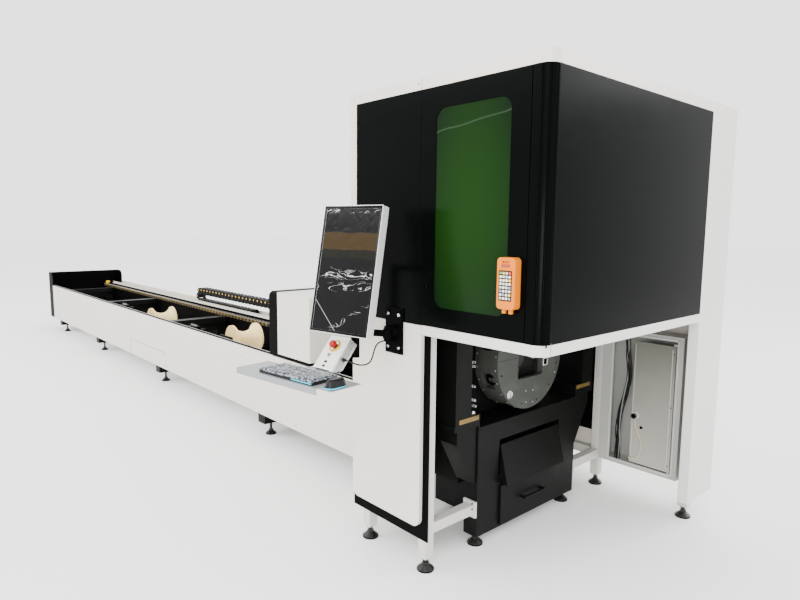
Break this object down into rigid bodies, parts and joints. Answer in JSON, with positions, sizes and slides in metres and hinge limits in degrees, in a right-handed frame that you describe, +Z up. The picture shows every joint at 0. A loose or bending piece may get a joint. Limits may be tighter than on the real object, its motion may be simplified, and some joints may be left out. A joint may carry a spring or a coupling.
{
  "type": "tube laser cutting machine",
  "caption": "Long tube laser cutter: low loading bed with roller supports and a travelling rear chuck, and an enclosed cutting cabinet with a front chuck, cutting head and swing-arm console.",
  "frame": {"origin": "on the floor under the middle of the machine's box, console included", "axes": "+X along the bed towards the cabinet's end face, -Y towards the operator, +Z up"},
  "size_m": [9.2, 2.24, 2.22],
  "materials": {
    "white_paint": "satin powder coat",
    "frame_paint": "satin powder coat",
    "black_paint": "gloss powder coat",
    "machine_grey": "textured paint",
    "chuck_steel": "machined and blackened",
    "bright_steel": "ground",
    "rack_steel": "oiled",
    "nylon": "turned nylon",
    "chain_plastic": "moulded",
    "window_glass": "tinted",
    "remote_plastic": "moulded",
    "tray_paint": "satin",
    "aluminium": "anodised",
    "screen_case": "gloss",
    "stop_red": "gloss",
    "switch_chrome": "polished",
    "key_plastic": "moulded",
    "module_plastic": "moulded",
    "cable_black": "smooth jacket",
    "cable_cream": "smooth jacket"
  },
  "bodies": {
    "machine": {"bed_side_beams": "black_paint", "bed_cross_frames": "machine_grey", "bed_side_panels": "white_paint", "bed_end_cap": "black_paint", "carriage_rails": "bright_steel", "gear_rack": "rack_steel", "chain_tray": "white_paint", "chain_lower_run": "chain_plastic", "support_cylinders": "machine_grey", "levelling_feet": "bright_steel", "cabinet_posts": "frame_paint", "cabinet_rails": "frame_paint", "bottom_rim": "white_paint", "cabinet_roof": "white_paint", "front_upper_panel": "black_paint", "front_lower_panel": "white_paint", "panel_border": "black_paint", "cabinet_left_wall": "white_paint", "corner_post": "black_paint", "end_panel": "black_paint", "rear_corner_panel": "white_paint", "cabinet_back_panel": "white_paint", "machine_base": "machine_grey", "gantry": "machine_grey", "front_chuck_housing": "chuck_steel", "electrical_cabinet": "frame_paint", "control_modules": "module_plastic", "console_bracket": "black_paint", "console_cable": "cable_black", "cabinet_harness": "cable_black"},
    "carriage": {"carriage_frame": "black_paint", "carriage_cover": "white_paint", "chain_upper_run": "chain_plastic"},
    "rear_chuck": {"rear_chuck_drum": "chuck_steel"},
    "chain_bend": {"chain_bend": "chain_plastic"},
    "front_chuck": {"front_chuck_drum": "chuck_steel"},
    "jaw_rear": {"jaw_rear": "bright_steel"},
    "jaw_front": {"jaw_front": "bright_steel"},
    "jaw_top": {"jaw_top": "bright_steel"},
    "jaw_bottom": {"jaw_bottom": "bright_steel"},
    "front_door": {"door_panel": "black_paint", "door_window": "window_glass", "remote_control": "remote_plastic"},
    "electrical_door": {"electrical_door": "frame_paint", "lock_cable": "cable_cream"},
    "scrap_drawer": {"scrap_drawer": "machine_grey"},
    "head_saddle": {"head_saddle": "machine_grey"},
    "cutting_head": {"cutting_head": "aluminium"},
    "support_near": {"support_yoke_near": "machine_grey"},
    "support_far": {"support_yoke_far": "machine_grey"},
    "roller_near": {"roller_near": "nylon"},
    "roller_far": {"roller_far": "nylon"},
    "console": {"console_arm": "black_paint", "control_box": "aluminium", "keyboard_tray": "tray_paint", "keyboard": "key_plastic", "mouse": "key_plastic"},
    "monitor": {"monitor": "screen_case"},
    "estop_button": {"estop_button": "stop_red"},
    "key_switch": {"key_switch": "switch_chrome"}
  },
  "joints": [
    {"name": "carriage_slide", "type": "slide", "parent": "machine", "child": "carriage", "axis": [1, 0, 0], "range_m": [-6.2, 0.8], "deforming": ["chain_upper_run", "chain_lower_run"]},
    {"name": "rear_chuck_spin", "type": "hinge", "parent": "carriage", "child": "rear_chuck", "pos_m": [2.1, 0.234, 0.915], "axis": [1, 0, 0], "continuous": true},
    {"name": "chain_bend_slide", "type": "slide", "parent": "machine", "child": "chain_bend", "axis": [1, 0, 0], "range_m": [-3.1, 0.4]},
    {"name": "front_chuck_spin", "type": "hinge", "parent": "machine", "child": "front_chuck", "pos_m": [3.8, 0.234, 0.915], "axis": [1, 0, 0], "continuous": true},
    {"name": "jaw_rear_slide", "type": "slide", "parent": "front_chuck", "child": "jaw_rear", "axis": [0, -1, 0], "range_m": [0, 0.05]},
    {"name": "jaw_front_slide", "type": "slide", "parent": "front_chuck", "child": "jaw_front", "axis": [0, 1, 0], "range_m": [0, 0.05]},
    {"name": "jaw_top_slide", "type": "slide", "parent": "front_chuck", "child": "jaw_top", "axis": [0, 0, -1], "range_m": [0, 0.05]},
    {"name": "jaw_bottom_slide", "type": "slide", "parent": "front_chuck", "child": "jaw_bottom", "axis": [0, 0, 1], "range_m": [0, 0.05]},
    {"name": "front_door_hinge", "type": "hinge", "parent": "machine", "child": "front_door", "pos_m": [4.508, -0.548, 1.6], "axis": [0, 0, 1], "range_deg": [0, 90]},
    {"name": "electrical_door_hinge", "type": "hinge", "parent": "machine", "child": "electrical_door", "pos_m": [4.423, 0.9715, 0.58], "axis": [0, 0, 1], "range_deg": [0, 100]},
    {"name": "drawer_slide", "type": "slide", "parent": "machine", "child": "scrap_drawer", "axis": [1, 0, 0], "range_m": [0, 0.35]},
    {"name": "head_cross_slide", "type": "slide", "parent": "machine", "child": "head_saddle", "axis": [0, 1, 0], "range_m": [-0.17, 0.17]},
    {"name": "head_lift_slide", "type": "slide", "parent": "head_saddle", "child": "cutting_head", "axis": [0, 0, 1], "range_m": [-0.18, 0.1]},
    {"name": "support_near_lift", "type": "slide", "parent": "machine", "child": "support_near", "axis": [0, 0, 1], "range_m": [-0.057, 0.116]},
    {"name": "support_far_lift", "type": "slide", "parent": "machine", "child": "support_far", "axis": [0, 0, 1], "range_m": [0, 0.173]},
    {"name": "roller_near_spin", "type": "hinge", "parent": "support_near", "child": "roller_near", "pos_m": [0.8, 0.234, 0.56], "axis": [0, 1, 0], "continuous": true},
    {"name": "roller_far_spin", "type": "hinge", "parent": "support_far", "child": "roller_far", "pos_m": [-1.21, 0.234, 0.503], "axis": [0, 1, 0], "continuous": true},
    {"name": "console_swing", "type": "hinge", "parent": "machine", "child": "console", "pos_m": [3.79, -0.601, 1.108], "axis": [0, 0, 1], "range_deg": [-15, 35], "deforming": ["console_cable"]},
    {"name": "monitor_tilt", "type": "hinge", "parent": "console", "child": "monitor", "pos_m": [3.76702, -0.75891, 1.39573], "axis": [0.9816, 0.1908, 0], "range_deg": [-10, 10]},
    {"name": "estop_press", "type": "slide", "parent": "console", "child": "estop_button", "axis": [-0.0909, 0.7399, -0.6665], "range_m": [0, 0.005], "stiffness_N_per_m": 1500},
    {"name": "key_turn", "type": "hinge", "parent": "console", "child": "key_switch", "pos_m": [3.62521, -0.81221, 1.00904], "axis": [0.0909, -0.7399, 0.6665], "range_deg": [0, 90]}
  ],
  "couplings": [
    {"joint": "chain_bend_slide", "follows": "carriage_slide", "ratio": 0.5},
    {"joint": "jaw_front_slide", "follows": "jaw_rear_slide", "ratio": 1},
    {"joint": "jaw_bottom_slide", "follows": "jaw_top_slide", "ratio": 1}
  ]
}
